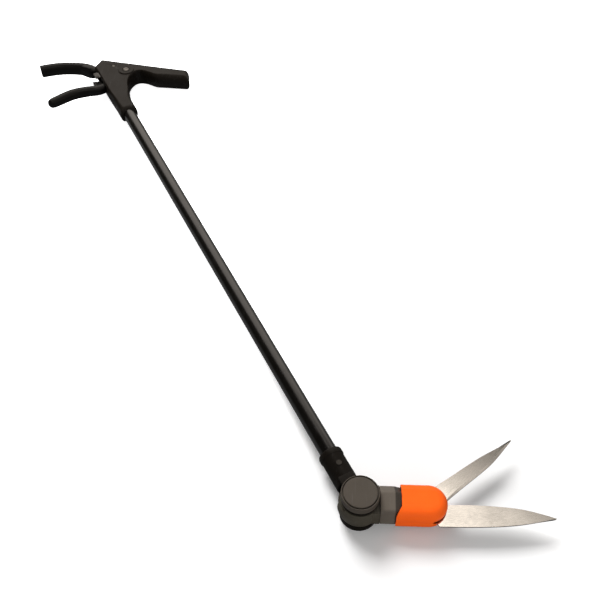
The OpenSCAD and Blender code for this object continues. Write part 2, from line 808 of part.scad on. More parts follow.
// Moving blade, ground on its near face, with a tail for the draw link
module moving_blade() {
    spine = curve([[142.7, 0, 0.4], [118, 3.6, 0.1], [89, 7.7, 0.1], [47, 10.6, 0.1], [27, 12.2, 0.1]], 4);
    edge = curve([[24, -9.7, 0.6], [47, -9.1, 1], [71, -8.9, 1], [96, -8.2, 1], [117, -5.2, 1],
                  [142.7, 0, 0.4]], 4);
    pin = tail_pin - [pivot_x, 0];
    color("#cdcfd1") on_head() translate([pivot_x, 0, 0]) difference() {
        union() {
            rotate([0, 0, blade_open]) shaped_plate(
                concat(spine, [[10, 12, 0], [0, 11, 0], [-8, 8, 0], [-11, 0, 0], [-8, -8, 0], [10, -11, 0]],
                       from_to(edge, 0, len(edge) - 2)),
                [[blade_gap / 2, 0], [blade_t * 0.68, 0], [blade_t, 3]]);
            slab(blade_gap / 2, blade_t) polygon([[-9, -4], pin + [-4.4, 0], pin + [4.4, 0], [9, -4]]);
            bar_z(pin, blade_gap / 2, blade_t, 4.4);
        }
        bar_z([0, 0], -1, 10, 3 + RUN);
        bar_z(pin, -1, 10, 2 + FIT);
    }
}

// Bolt that the blades turn on
module pivot_bolt() {
    color("#b4b7bb") on_head() {
        bar_z([pivot_x, 0], -cap_t + 0.4, 13.2, 3);
    }
}

// Nut of the blade pivot in the far cap half
module pivot_nut() {
    color("#a8abb0") on_head() difference() {
        translate([pivot_x, 0, 0.6 - cap_t]) cylinder(r = 5.6, h = 3.2, $fn = 6);
        bar_z([pivot_x, 0], -40, 0, 3 + FIT);
    }
}

// Spring washer between the moving blade and the near cap half
module pivot_washer() {
    color("#8d9096") on_head() difference() {
        bar_z([pivot_x, 0], blade_t + 0.05, link_z + 0.15, 6.2);
        bar_z([pivot_x, 0], 0, 10, 3 + FIT);
    }
}

// Link that draws the tail of the moving blade
module draw_link() {
    color("#9a9da2") on_head() difference() {
        union() {
            bar_x(24, 63.5, rod_r);
            bar_x(61.6, 63.5, 5.6);
            slab(link_z, link_z + link_t) polygon([[61.8, -4], [61.8, 4], [69, 4], [72, -5.5],
                tail_pin + [4.6, 4.5], tail_pin + [4.6, -1], tail_pin + [2, -4.5], tail_pin + [-8, -4.5],
                [68.4, -8], [68.2, -4]]);
            block([61.8, -3, 0], [66, 3, link_z + link_t]);
        }
        bar_x(23, 32, cable_r + FIT);
        for (s = [-1.1, 1.1]) bar_z(tail_pin + [0, s], 0, 10, 2 + link_play);
        slab(0, 10) translate(tail_pin - [2 + link_play, 1.1]) square([4 + 2 * link_play, 2.2]);
    }
}

// Pin in the tail of the moving blade
module tail_pin_steel() {
    color("#c4c7cb") on_head() bar_z(tail_pin, blade_gap, link_z + link_t + 0.6, 2);
}

// Spring that opens the blades again
module return_spring() {
    color("#b9bcc0") on_head() translate([spigot_end, 0, 0]) rotate([0, 90, 0]) coil(4.6, 0.6, 17.5, 5);
}

tube();
pull_rod();
rod_head();
rod_guide_upper();
rod_guide_lower();
pull_cable();
handle_shell_near();
handle_shell_far();
shell_screws();
tube_screw();
rear_grip_core();
rear_grip_sleeve();
grip_screw();
squeeze_lever();
lever_bush();
lever_pivot_screw();
lever_pivot_nut();
pull_pin_steel();
lock_slide();
socket_near();
socket_far();
socket_rivet();
tilt_button();
button_spring();
button_clip();
far_cover();
cover_screws();
knuckle_near();
knuckle_far();
knuckle_screws();
swivel_retainer();
swivel_collar();
cap_near();
cap_far();
cap_screws();
fixed_blade();
moving_blade();
pivot_bolt();
pivot_nut();
pivot_washer();
draw_link();
tail_pin_steel();
return_spring();
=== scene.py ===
"""Long-handled grass shears lying on a white table, dressed round their CAD frame."""

import math

import bmesh
import bpy
import numpy as np
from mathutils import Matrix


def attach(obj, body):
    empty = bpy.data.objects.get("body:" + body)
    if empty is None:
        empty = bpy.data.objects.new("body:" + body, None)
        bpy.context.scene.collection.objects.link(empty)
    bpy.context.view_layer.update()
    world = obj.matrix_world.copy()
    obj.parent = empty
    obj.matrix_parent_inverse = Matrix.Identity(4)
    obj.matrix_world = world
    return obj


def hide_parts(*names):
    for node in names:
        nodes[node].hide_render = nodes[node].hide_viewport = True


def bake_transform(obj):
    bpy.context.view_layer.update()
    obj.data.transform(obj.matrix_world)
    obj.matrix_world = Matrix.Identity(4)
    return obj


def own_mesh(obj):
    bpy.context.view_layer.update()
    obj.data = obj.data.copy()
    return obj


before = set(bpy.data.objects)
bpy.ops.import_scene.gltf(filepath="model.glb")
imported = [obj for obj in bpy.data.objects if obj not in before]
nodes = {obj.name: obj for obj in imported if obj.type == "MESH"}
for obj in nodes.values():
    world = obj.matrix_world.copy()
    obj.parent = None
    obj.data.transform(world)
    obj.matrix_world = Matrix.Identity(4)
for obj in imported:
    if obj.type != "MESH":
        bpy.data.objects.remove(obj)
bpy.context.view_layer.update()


# The tube: 22 mm drawn steel with a 1.2 mm wall, cut square, deburred and stoved in a thin
# black enamel that keeps a faint orange-peel surface. Every fixed piece hangs on it.
LEAN = math.radians(28)
AXIS = 24.0
TUBE_R, TUBE_BORE = 11, 9.8
TUBE_LOW, TUBE_TOP = 35, 925
BURR = 0.3


def on_shaft(p, up=0.0):
    """Places in mm (right of the tube, up the tube, above its axis), turned by the lean of the
    shaft and lifted to the height of its axis, in metres."""
    p = np.asarray(p, float)
    x, y = p[..., 0], p[..., 1] + up
    c, s = math.cos(LEAN), math.sin(LEAN)
    return np.stack([x * c - y * s, x * s + y * c, p[..., 2] + AXIS], -1) / 1000


def skin(grid, around=True, ends=True):
    """Corners and faces of a grid of rings: quads between neighbours, the last column joined to
    the first where it runs around, and one flat face over each end ring."""
    rings, sides = grid.shape[:2]
    i, j = np.meshgrid(np.arange(rings - 1), np.arange(sides - (not around)), indexing="ij")
    k = (j + 1) % sides
    quads = np.stack([i * sides + j, i * sides + k, i * sides + k + sides, i * sides + j + sides], -1)
    faces = quads.reshape(-1, 4).tolist()
    if ends:
        faces += [list(range(sides))[::-1], list(range((rings - 1) * sides, rings * sides))]
    return grid.reshape(-1, 3), faces


def turned(profile, sides=96, start=0.0, sweep=None):
    """A turned form, one ring for each profile point: radius r and height h carried round the
    axis, so a point is (r cos a, r sin a, h). A part turn runs from start through sweep."""
    r, h = np.asarray(profile, float).T
    a = np.arange(sides) * 2 * math.pi / sides
    if sweep:
        a = np.linspace(start, start + sweep, sides)
    return np.stack([np.outer(r, np.cos(a)), np.outer(r, np.sin(a)), np.outer(h, np.ones(len(a)))], -1)


def solid(name, parts, outward=True):
    """An object at the origin from lists of corners and faces, doubles merged and faces turned
    outwards where the parts are closed."""
    starts = np.cumsum([0] + [len(v) for v, _ in parts])
    faces = [[c + s for c in f] for (_, fs), s in zip(parts, starts) for f in fs]
    mesh = bpy.data.meshes.new(name)
    mesh.from_pydata(np.concatenate([v for v, _ in parts]).tolist(), [], faces)
    bm = bmesh.new()
    bm.from_mesh(mesh)
    bmesh.ops.remove_doubles(bm, verts=bm.verts, dist=1e-7)
    if outward:
        bmesh.ops.recalc_face_normals(bm, faces=bm.faces)
    bm.to_mesh(mesh)
    bm.free()
    made = bpy.data.objects.new(name, mesh)
    bpy.context.scene.collection.objects.link(made)
    return made


def settled(made):
    """The object with its modifiers worked into its mesh."""
    bpy.context.view_layer.update()
    shown = made.evaluated_get(bpy.context.evaluated_depsgraph_get())
    mesh = bpy.data.meshes.new_from_object(shown)
    made.modifiers.clear()
    made.data = mesh
    return made


def fitted(made, finish, body, stands_for, soft_edge=0.0, crease=32):
    """Finishes a piece: a small rounded edge (mm) where faces meet sharply, smooth shading broken
    at the crease angle, its finish, the body it rides on, if one, and the CAD nodes it stands for."""
    if soft_edge:
        bevel = made.modifiers.new("edge", "BEVEL")
        bevel.width = soft_edge / 1000
        bevel.segments = 2
        bevel.limit_method = "ANGLE"
        bevel.angle_limit = math.radians(40)
        settled(made)
    made.data.shade_smooth()
    made.data.set_sharp_from_angle(angle=math.radians(crease))
    made.data.materials.clear()
    made.data.materials.append(finish)
    if body:
        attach(made, body)
    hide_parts(*stands_for)
    return made


def put(tree, made, fields):
    """Sets the inputs of a shader node by name or place: a number or a colour is set on the socket,
    and the output of another node is linked to it."""
    for name, value in fields.items():
        if isinstance(value, bpy.types.NodeSocket):
            tree.links.new(value, made.inputs[name])
        else:
            made.inputs[name].default_value = value


def node(tree, kind, fields, **settings):
    """The outputs of a new shader node with these settings and inputs."""
    made = tree.nodes.new(kind)
    for name, value in settings.items():
        setattr(made, name, value)
    put(tree, made, fields)
    return made.outputs


def ramp(tree, value, low, high, first, last, easing="LINEAR"):
    """A value carried from one range to another and held at its ends."""
    return node(tree, "ShaderNodeMapRange", {"Value": value, "From Min": low, "From Max": high,
                                             "To Min": first, "To Max": last},
                interpolation_type=easing)["Result"]


def blended(tree, share, a, b):
    """Two colours mixed by a share: all of a at 0 and all of b at 1."""
    return node(tree, "ShaderNodeMix", {"Factor": share, "A": a, "B": b}, data_type="RGBA")["Result"]


def coated(name, low, high, rough, grain, depth, scuff=0.0, specular=0.5):
    """A coated or moulded finish. Two tones blend by a cloudy noise, long thin streaks of a second
    noise lighten the tone as handling scuffs, gloss varies with the cloud, and a bump of the
    given grain and depth (mm) roughens it."""
    made = bpy.data.materials.new(name)
    made.use_nodes = True
    tree = made.node_tree
    place = node(tree, "ShaderNodeTexCoord", {})["Object"]
    cloud = node(tree, "ShaderNodeTexNoise", {"Vector": place, "Scale": 45, "Detail": 5})["Fac"]
    turn = node(tree, "ShaderNodeMapping", {"Vector": place, "Rotation": (0, 0, 0.5 - LEAN),
                                            "Scale": (420, 30, 200)})["Vector"]
    streak = node(tree, "ShaderNodeTexNoise", {"Vector": turn, "Scale": 1, "Detail": 3})["Fac"]
    rubbed = [0.5 * c + 0.09 for c in high]
    spark = node(tree, "ShaderNodeTexNoise", {"Vector": place, "Scale": 1000 / grain, "Detail": 2})["Fac"]
    put(tree, tree.nodes["Principled BSDF"], {
        "Base Color": blended(tree, ramp(tree, streak, 0.6, 0.78, 0, scuff),
                              blended(tree, cloud, (*low, 1), (*high, 1)), (*rubbed, 1)),
        "Roughness": ramp(tree, cloud, 0, 1, rough - 0.08, rough + 0.1),
        "Specular IOR Level": specular,
        "Normal": node(tree, "ShaderNodeBump", {"Height": spark, "Strength": 0.6,
                                                "Distance": depth / 1000})["Normal"]})
    return made


black_enamel = coated("black_enamel", (0.0014, 0.0012, 0.001), (0.0028, 0.0024, 0.0019), 0.22, 1.6, 0.012,
                      scuff=0.06, specular=0.5)
pipe_end = [[TUBE_BORE, BURR], [TUBE_BORE + BURR, 0], [TUBE_R - BURR, 0], [TUBE_R, BURR]]
pipe_wall = [[r, TUBE_LOW + h] for r, h in pipe_end] + [[TUBE_R, (TUBE_LOW + TUBE_TOP) / 2]]
pipe_wall += [[r, TUBE_TOP - h] for r, h in pipe_end[::-1]]
pipe_wall += [[TUBE_BORE, (TUBE_LOW + TUBE_TOP) / 2], pipe_wall[0]]
fitted(solid("shaft_tube", [skin(on_shaft(turned(pipe_wall)[..., [0, 2, 1]]), ends=False)]),
       black_enamel, "shaft", ["tube"])


# Inside the tube: a drawn steel rod with a flat slotted head, two nylon guides that centre it,
# and the steel cable that takes the pull round the tilt axis. The rod is crimped to the cable,
# whose upper run goes with the rod, whose lower run goes with the link, and whose bend between
# is a fixed piece.
def joined(tree, operation, *values):
    """Numbers or outputs of other nodes joined by arithmetic."""
    return node(tree, "ShaderNodeMath", dict(enumerate(values)), operation=operation)["Value"]


def drawn(name, low, high, rough, turn, lines, depth):
    """Metal with fine lines. Noise stretched across the given turn makes the lines, a slow noise stains them,
    both vary the tone and the gloss, and the lines alone give a shallow bump (mm)."""
    made = bpy.data.materials.new(name)
    made.use_nodes = True
    tree = made.node_tree
    place = node(tree, "ShaderNodeTexCoord", {})["Object"]
    spin = node(tree, "ShaderNodeMapping", {"Vector": place, "Rotation": (0, 0, turn),
                                            "Scale": (1 / lines, 8 / lines, 8 / lines)},
                vector_type="TEXTURE")["Vector"]
    line = node(tree, "ShaderNodeTexNoise", {"Vector": spin, "Scale": 1, "Detail": 6,
                                             "Roughness": 0.65})["Fac"]
    stain = node(tree, "ShaderNodeTexNoise", {"Vector": place, "Scale": 35, "Detail": 4})["Fac"]
    both = joined(tree, "MULTIPLY_ADD", stain, 0.45, joined(tree, "MULTIPLY", line, 0.55))
    spread = ramp(tree, both, 0.3, 0.7, 0, 1)
    put(tree, tree.nodes["Principled BSDF"], {
        "Base Color": blended(tree, spread, (*low, 1), (*high, 1)),
        "Roughness": ramp(tree, spread, 0, 1, rough + 0.09, rough - 0.05),
        "Metallic": 1,
        "Normal": node(tree, "ShaderNodeBump", {"Height": line, "Strength": 0.35,
                                                "Distance": depth / 1000})["Normal"]})
    return made


def dressed(finish, *names):
    """CAD nodes that stay as they are and get a better finish."""
    for name in names:
        nodes[name].data.materials.clear()
        nodes[name].data.materials.append(finish)


def on_head(p):
    """Places in mm along the head, lifted to the axis, in metres."""
    return (np.asarray(p, float) + np.array([0, 0, AXIS])) / 1000


def bar(path, power=0.8, sides=48, tall=1.0):
    """A bar along a flat centre line whose points carry the half width. The section is a rounded
    square: the half width times |cos|^power across and, by a share tall, |sin|^power up."""
    p, w = path[:, :2], path[:, 2]
    d = np.gradient(p, axis=0)
    d = d / np.linalg.norm(d, axis=1, keepdims=True)
    a = np.arange(sides) * 2 * math.pi / sides
    c, s = (np.sign(f) * np.abs(f) ** power for f in (np.cos(a), np.sin(a)))
    across = np.stack([-d[:, 1], d[:, 0]], 1)
    flat = p[:, None] + across[:, None] * (w[:, None] * c)[..., None]
    return np.concatenate([flat, (tall * w[:, None] * s)[..., None]], -1)


bright_steel = drawn("bright_steel", (0.42, 0.42, 0.43), (0.62, 0.62, 0.63), 0.32, LEAN, 900, 0.01)
dull_steel = drawn("dull_steel", (0.3, 0.3, 0.31), (0.46, 0.46, 0.46), 0.42, 0.6, 700, 0.015)
nylon = coated("nylon", (0.6, 0.57, 0.5), (0.68, 0.65, 0.58), 0.5, 1.2, 0.02)
dressed(bright_steel, "pull_rod")
dressed(dull_steel, "rod_head")
dressed(nylon, "rod_guide_upper", "rod_guide_lower")
CABLE_BEND, CABLE_R, CABLE_CORE = 14, 1.5, 1.42
up_tube = np.array([-math.sin(LEAN), math.cos(LEAN)])
veer = np.linspace(0, math.pi / 2 - LEAN, 25)
reach = CABLE_BEND * math.tan(veer[-1] / 2)
bend = np.stack([reach - CABLE_BEND * np.sin(veer), CABLE_BEND * (1 - np.cos(veer))], 1)
for name, run, r, body in (("cable_upper", [50 * up_tube, 10 * up_tube], CABLE_R, "rod"),
                           ("cable_bend", [24 * up_tube, *bend[::-1], [20.5, 0]], CABLE_CORE, None),
                           ("cable_lower", [[18.8, 0], [31, 0]], CABLE_R, "link")):
    line = np.column_stack([run, np.full(len(run), r)])
    strand = fitted(solid(name, [skin(on_head(bar(line, 1, 16)))]), bright_steel, body,
                    ["pull_cable"])
    if not body:
        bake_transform(strand)


# The handle: two injection-moulded shells in black nylon with a fine spark-eroded face, screwed
# together from the far side and clamped on the tube. They hold the front grip, the round boss
# over the lever pivot and the open mouth that the lever leaves by.
def through(keys, steps):
    """A smooth curve through key points that carry further values: between two points a cubic
    whose slope at each is half the step between its neighbours."""
    p = np.asarray(keys, float)
    q = np.concatenate([p[:1], p, p[-1:]])
    t = (np.arange(steps) / steps)[:, None]
    a, b, c, d = (q[k:k + len(p) - 1, None] for k in range(4))
    s = 0.5 * (2 * b + (c - a) * t + (2 * a - 5 * b + 4 * c - d) * t ** 2
               + (3 * b - a - 3 * c + d) * t ** 3)
    return np.concatenate([s.reshape(-1, p.shape[1]), p[-1:]])


def drawn_in(ring, depth):
    """An outline moved inwards by a depth times its third value, each corner along the mitre of
    its two edges."""
    p = ring[:, :2]
    e = np.roll(p, -1, 0) - p
    e = e / np.linalg.norm(e, axis=1, keepdims=True)
    k = np.stack([-e[:, 1], e[:, 0]], 1)
    m = np.roll(k, 1, 0)
    return p + (depth * ring[:, 2])[:, None] * (m + k) / (1 + (m * k).sum(1, keepdims=True))


def filled(rings, gap, eased):
    """Rings of the same corners with points added along every edge about a gap apart, then eased
    by averaging each point with its neighbours a few times, which rounds the corners."""
    step = np.linalg.norm(np.roll(rings[0], -1, 0) - rings[0], axis=1)
    count = np.maximum(1, np.round(step / gap)).astype(int)
    edge = np.repeat(np.arange(len(count)), count)
    share = (np.arange(count.sum()) - np.repeat(np.cumsum(count) - count, count)) / np.repeat(count, count)
    out = rings[:, edge] * (1 - share)[:, None] + rings[:, (edge + 1) % len(count)] * share[:, None]
    for _ in range(eased):
        out = 0.5 * out + 0.25 * (np.roll(out, 1, 1) + np.roll(out, -1, 1))
    return out


def levelled(ring, levels, gap=2.0, eased=2):
    """Rings of an outline at levels, each a height and a depth drawn in."""
    flat = filled(np.stack([drawn_in(ring, d) for _, d in levels]), gap, eased)
    high = np.broadcast_to(np.array([h for h, _ in levels], float)[:, None, None], flat.shape[:2] + (1,))
    return np.concatenate([flat, high], -1)


def brick(a, b):
    """A block between two opposite corners, as two rings of four."""
    (x, y, z), (u, v, w) = a, b
    return np.array([[[x, y, h], [u, y, h], [u, v, h], [x, v, h]] for h in (z, w)], float)


def prism(outline, low, high):
    """A flat outline carried straight up from one height to another."""
    p = np.asarray(outline, float)
    return np.stack([np.column_stack([p, np.full(len(p), h)]) for h in (low, high)])


def walled(made, thick):
    """An open skin given a wall (mm) on its inner side."""
    wall = made.modifiers.new("wall", "SOLIDIFY")
    wall.thickness = thick / 1000
    wall.offset = -1
    return settled(made)


def cut(made, *tools):
    """The object with closed grids taken away from it."""
    tool = solid("tool", [skin(t) for t in tools])
    less = made.modifiers.new("cut", "BOOLEAN")
    less.operation = "DIFFERENCE"
    less.solver = "EXACT"
    less.use_self = True
    less.object = tool
    settled(made)
    bpy.data.objects.remove(tool)
    return made


def on_handle(p):
    """Places in mm counted from the upper end of the tube."""
    return on_shaft(p, TUBE_TOP)


def peg(x, y, low, high, r, sides=40):
    """A round peg or bore standing at a place."""
    return turned([[r, low], [r, high]], sides) + np.array([x, y, 0])


PIVOT_X, PIVOT_Y = 33.3, 32
ROOT_SCREW_X, ROOT_SCREW_Y = 16.5, 54.5
TUBE_SCREW_Y = -40
SHELL_HALF, SHELL_ROUND, SHELL_WALL = 15, 9, 3
armpit = through([[15.5, -52, 1], [17, -38, 0.6], [20, -24, 0.3], [25.5, -4, 0.3], [34.5, 11, 0.3],
                  [46, 19.5, 0.3], [55.5, 19, 0.3], [64, 10.5, 0.4], [73, -6, 0.7], [81, -13.8, 1]], 8)
back_edge = through([[138, -14.5, 1], [100, 15, 1], [50, 54.5, 1], [3, 91, 0.9]], 6)
handle_outline = np.concatenate([[[-15.5, -84, 1], [15.5, -84, 1]], armpit,
                                 [[95, -22.5, 1], [128, -43.5, 1]], back_edge,
                                 [[-16.6, 70, 0.45], [-15.8, -20, 0.45], [-15.2, -50, 0.7]]])
swing = np.radians(np.linspace(8, 90, 16))
shell_levels = [[0, 0.4], [0.4, 0], *zip(SHELL_HALF * np.sin(swing), SHELL_ROUND * (1 - np.cos(swing))),
                [SHELL_HALF, SHELL_ROUND + 0.8]]
grip_pocket = [[-30, 62], [9, 57.5], [13, 52.6], [20, 51.4], [21.5, 58], [15, 75], [-30, 84]]
shell_screws = [[118, -24], [62, 26], [30, 59]]
boss_rim = [[6, 14.6], [6, 16], [6.6, 16.6], [8, 16.5], [11, 16.2], [13.2, 16.6], [14.1, 16.3],
            [14.5, 15.6], [14.5, 14.4], [6, 14.4], [6, 14.6]]
spark_black = coated("spark_black", (0.0035, 0.0026, 0.0019), (0.0065, 0.0049, 0.0035), 0.46, 0.9, 0.05,
                     scuff=0.12, specular=0.12)
for side, name in ((1, "near"), (-1, "far")):
    rings = levelled(handle_outline, shell_levels)
    face = [list(range((len(shell_levels) - 1) * rings.shape[1], len(shell_levels) * rings.shape[1]))]
    if side < 0:
        rings = rings[:, ::-1] * np.array([1, 1, -1])
    corners, quads = skin(on_handle(rings), ends=False)
    shell = walled(solid(f"handle_{name}", [(corners, quads + face)], outward=False), SHELL_WALL)
    mouth = brick((-40, 0, -9.8), (-10, 58, 9.8))
    tools = [mouth, prism(grip_pocket, -8, 8)]
    if side > 0:
        slide_slot = brick((-40, 34, 8), (-6, 51, 12.2))
        tools += [slide_slot, peg(ROOT_SCREW_X, ROOT_SCREW_Y, 13.4, 17, 3.3)]
    else:
        tools += [peg(x, y, -17, -12.5, 3.5) for x, y in shell_screws]
        tools += [peg(0, TUBE_SCREW_Y, -17, -12.9, 4), peg(PIVOT_X, PIVOT_Y, -17, -11, 6, 6)]
    cut(shell, *[on_handle(t) for t in tools])
    if side > 0:
        boss = turned(boss_rim) + np.array([PIVOT_X, PIVOT_Y, 0])
        rim = solid("rim", [skin(on_handle(boss), ends=False)])
        with bpy.context.temp_override(active_object=shell, selected_editable_objects=[shell, rim]):
            bpy.ops.object.join()
    fitted(shell, spark_black, "shaft", [f"handle_shell_{name}"], 0.25)


# The screws of the handle: slotted and browned on the near side, zinc-plated on the far side. One
# pins the rear grip, one is the pivot that the lever turns on, with its nut in the far shell, and
# the rest join shells and tube.
def slotted_screw(name, x, y, profile, slot_z, half, stands_for):
    """A turned screw with a low crown and a straight slot, of a half width, cut across its head."""
    made = solid(name, [skin(on_handle(turned(profile, 56) + np.array([x, y, 0])))])
    top = profile[-1][1] + 2
    cut(made, on_handle(brick((x - 9, y - half, slot_z), (x + 9, y + half, top))))
    fitted(made, dark_steel, "shaft", stands_for, 0.12)


dark_steel = drawn("dark_steel", (0.08, 0.075, 0.069), (0.15, 0.14, 0.13), 0.35, 0.4, 700, 0.01)
lever_screw = [[2.4, -14.6], [3, -14], [3, 15.3], [5.2, 15.3], [5.4, 15.5], [5.4, 16.3], [4.9, 16.8],
               [3, 17.1], [0.4, 17.2]]
slotted_screw("lever_screw", PIVOT_X, PIVOT_Y, lever_screw, 16.4, 0.6, ["lever_pivot_screw"])
root_screw = [[1.1, -10.5], [1.5, -10], [1.5, 13.5], [3, 13.5], [3.1, 13.7], [3.1, 14.6], [2.6, 15.1],
              [1.4, 15.35], [0.3, 15.4]]
slotted_screw("root_screw", ROOT_SCREW_X, ROOT_SCREW_Y, root_screw, 14.7, 0.4, ["grip_screw"])
dressed(bright_steel, "shell_screws", "tube_screw", "lever_pivot_nut")


# The rear grip: a hard black core whose root is pinned between the shells, and a soft sleeve
# pushed over it that ends square. It is the upper of the two bars behind the handle.
def rounded_off(path, r, steps=6):
    """A path made longer by a quarter-round end: r sin t further on and r (1 - cos t) thinner."""
    t = np.linspace(0, math.pi / 2, steps + 1)[1:, None]
    d = path[-1, :2] - path[-2, :2]
    d = d / np.linalg.norm(d)
    more = np.concatenate([path[-1, :2] + d * (np.sin(t) - 1) * r,
                           path[-1, 2] - r * (1 - np.cos(t))], 1)
    keep = np.linalg.norm(path[:, :2] - path[-1, :2], axis=1) > r * 1.2
    start = np.concatenate([path[-1, :2] - d * r, path[-1, 2:]])[None]
    return np.concatenate([path[keep], start, more])


rear_line = through([[-20, 74, 9], [-24, 82.5, 9.4], [-31, 90.5, 9.6], [-50.6, 102.7, 9.6],
                     [-72, 112, 9.6], [-94.5, 116.8, 9.6], [-106, 117.8, 9.6]], 10)
root_line = through([[17, 56, 4], [6, 63, 7.4], [-8, 69, 7.8], [-19, 74.5, 10], [-25, 82, 10.4],
                     [-31, 89.6, 9.9], [-33, 91.8, 9.4]], 8)
hard_black = coated("hard_black", (0.0012, 0.001, 0.0009), (0.0026, 0.0023, 0.002), 0.3, 2.2, 0.02,
                    scuff=0.05, specular=0.12)
soft_black = coated("soft_black", (0.0012, 0.001, 0.0009), (0.0026, 0.0023, 0.002), 0.36, 0.7, 0.05,
                    scuff=0.03, specular=0.12)
fitted(solid("rear_grip_root", [skin(on_handle(bar(root_line, 0.65, tall=1.06)))]), hard_black, "shaft",
       ["rear_grip_core"], 0.3)
sleeve_line = rounded_off(rounded_off(rear_line[20:], 1.6)[::-1], 0.6)
fitted(solid("rear_grip_cover", [skin(on_handle(bar(sleeve_line, tall=1.14)))]), soft_black, "shaft",
       ["rear_grip_sleeve"])


# The squeeze lever: one glossy black moulding, a rounded bar that sweeps down to a blunt tip and,
# inside the handle, a ribbed web and a fork with a hub. It turns on a bronze bush and draws the rod
# by a steel pin.
def plate(ring, low, high, edge, gap=2.0, eased=0):
    """A flat plate of an outline with its upper and lower edges chamfered."""
    ring = np.column_stack([np.asarray(ring, float)[:, :2], np.ones(len(ring))])
    return levelled(ring, [[low, edge], [low + edge, 0], [high - edge, 0], [high, edge]], gap, eased)


def arc(x, y, r, a, b, steps):
    """Points of an arc from angle a to b in degrees."""
    t = np.radians(np.linspace(a, b, steps))
    return np.stack([x + r * np.cos(t), y + r * np.sin(t)], 1)


lever_line = through([[-12.5, 16, 8], [-28, 13.8, 8.4], [-51, 19.3, 8.8], [-74, 21, 9], [-98.6, 15, 8.8],
                      [-112, 11.2, 8.4], [-120.7, 8.9, 7.9]], 10)
lever_line = rounded_off(lever_line, 7.4, 12)
KNEE = np.array([-13.5, 16.5])
HUB_R, ARM_HALF = 9.8, 7
PULL_PIN_X, PULL_PIN_Y = 8.846, 26.802
arm = np.array([PIVOT_X, PIVOT_Y]) - KNEE
lead = math.degrees(math.atan2(arm[1], arm[0]))
side_step = ARM_HALF * np.array([-arm[1], arm[0]]) / np.linalg.norm(arm)
fork = np.concatenate([arc(PIVOT_X, PIVOT_Y, HUB_R, lead - 90, lead + 90, 20),
                       [KNEE + side_step, KNEE - side_step]])
fork_parts = [plate(fork, 3.45, 7.5, 0.5), plate(fork, -7.5, -3.45, 0.5)]
fork_parts += [plate([[-30, 15], [-11, 15], [-11, 30], [-22, 34.6], [-30, 37]], -4.5, 4.5, 0.5)]
fork_parts += [plate([[x, 16], [x + 1.4, 16], [x + 1.4, 33], [x, 33]], 4, 5.4, 0.35)
               for x in np.arange(5) * 2.6 - 29.4]
lever = solid("lever_bar", [skin(on_handle(bar(lever_line))), *[skin(on_handle(f)) for f in fork_parts]])
cut(lever, on_handle(peg(PIVOT_X, PIVOT_Y, -9, 9, 5.03)), on_handle(peg(PULL_PIN_X, PULL_PIN_Y, -9, 9, 2.53)))
fitted(lever, hard_black, "lever", ["squeeze_lever"])
bronze = drawn("bronze", (0.3, 0.2, 0.09), (0.45, 0.32, 0.15), 0.4, 0.3, 700, 0.01)
dressed(bronze, "lever_bush")
dressed(bright_steel, "pull_pin_steel")


# The lock slide: a small ribbed block of grey-black nylon that runs in a slot at the mouth of the
# near shell, its three ribs moulded across for the thumb.
rib_x = np.linspace(-24, -16.8, 61)
rib_z = 13 + 1.2 * np.clip(0.5 + 1.6 * np.cos(2 * math.pi * (rib_x + 22.8) / 2.4), 0, 1)
rib_z[[0, -1]] = [12.6, 12.4]
slide_side = np.concatenate([np.stack([rib_x, rib_z], 1), [[-16.6, 12], [-7.3, 12], [-7, 11.7], [-7, 9.6],
                                                         [-24, 9.6]]])
slide_rings = np.stack([np.column_stack([slide_side[:, 0], np.full(len(slide_side), y),
                                         np.minimum(slide_side[:, 1], top)])
                        for y, top in ((35, 11.8), (35.4, 12.2), (36, 13), (36.5, 14.2), (48.5, 14.2),
                                       (49, 13), (49.6, 12.2), (50, 11.8))])
slide_black = coated("slide_black", (0.02, 0.0175, 0.015), (0.034, 0.03, 0.026), 0.5, 0.9, 0.04, scuff=0.3)
fitted(solid("lock_block", [skin(on_handle(slide_rings))]), slide_black, "lock", ["lock_slide"])


# The socket: two black nylon halves clamped on the foot of the tube, with a beaded rim and two
# cheeks that hold the ball between them. A blackened rivet goes through halves and tube.
socket_wall = [[6, 27], [13.8, 27], [14.4, 27.6], [14.4, 66.2], [14.7, 66.8], [15.3, 67.3], [15.3, 73.2],
               [15, 73.9], [14.8, 74.6], [14.3, 75], [11.5, 75], [11.06, 74.6], [11.06, 35], [6, 35]]
cheek = np.concatenate([arc(0, 0, 22, 118.5, 421.5, 72), [[10.5, 35], [-10.5, 35]]])
hub_wall = [[9, 15], [19, 15], [19, 20.6], [18.6, 21], [9, 21], [9, 15]]
for side, name in ((1, "near"), (-1, "far")):
    half = turned(socket_wall, 61, 0 if side > 0 else math.pi, math.pi)[..., [0, 2, 1]].swapaxes(0, 1)
    parts = [skin(half)]
    for form in [plate(cheek, 12.6, 15, 0.4), turned([[10, 8], [10, 12.8]], 64)]:
        parts.append(skin(form * np.array([1, 1, side])))
    if side > 0:
        parts.append(skin(turned(hub_wall), ends=False))
    fitted(solid(f"socket_half_{name}", [(on_shaft(v), f) for v, f in parts]), spark_black, "shaft",
           [f"socket_{name}"], 0.2)
black_steel = drawn("black_steel", (0.03, 0.028, 0.026), (0.06, 0.056, 0.05), 0.45, 0.3, 700, 0.01)
dressed(black_steel, "socket_rivet")


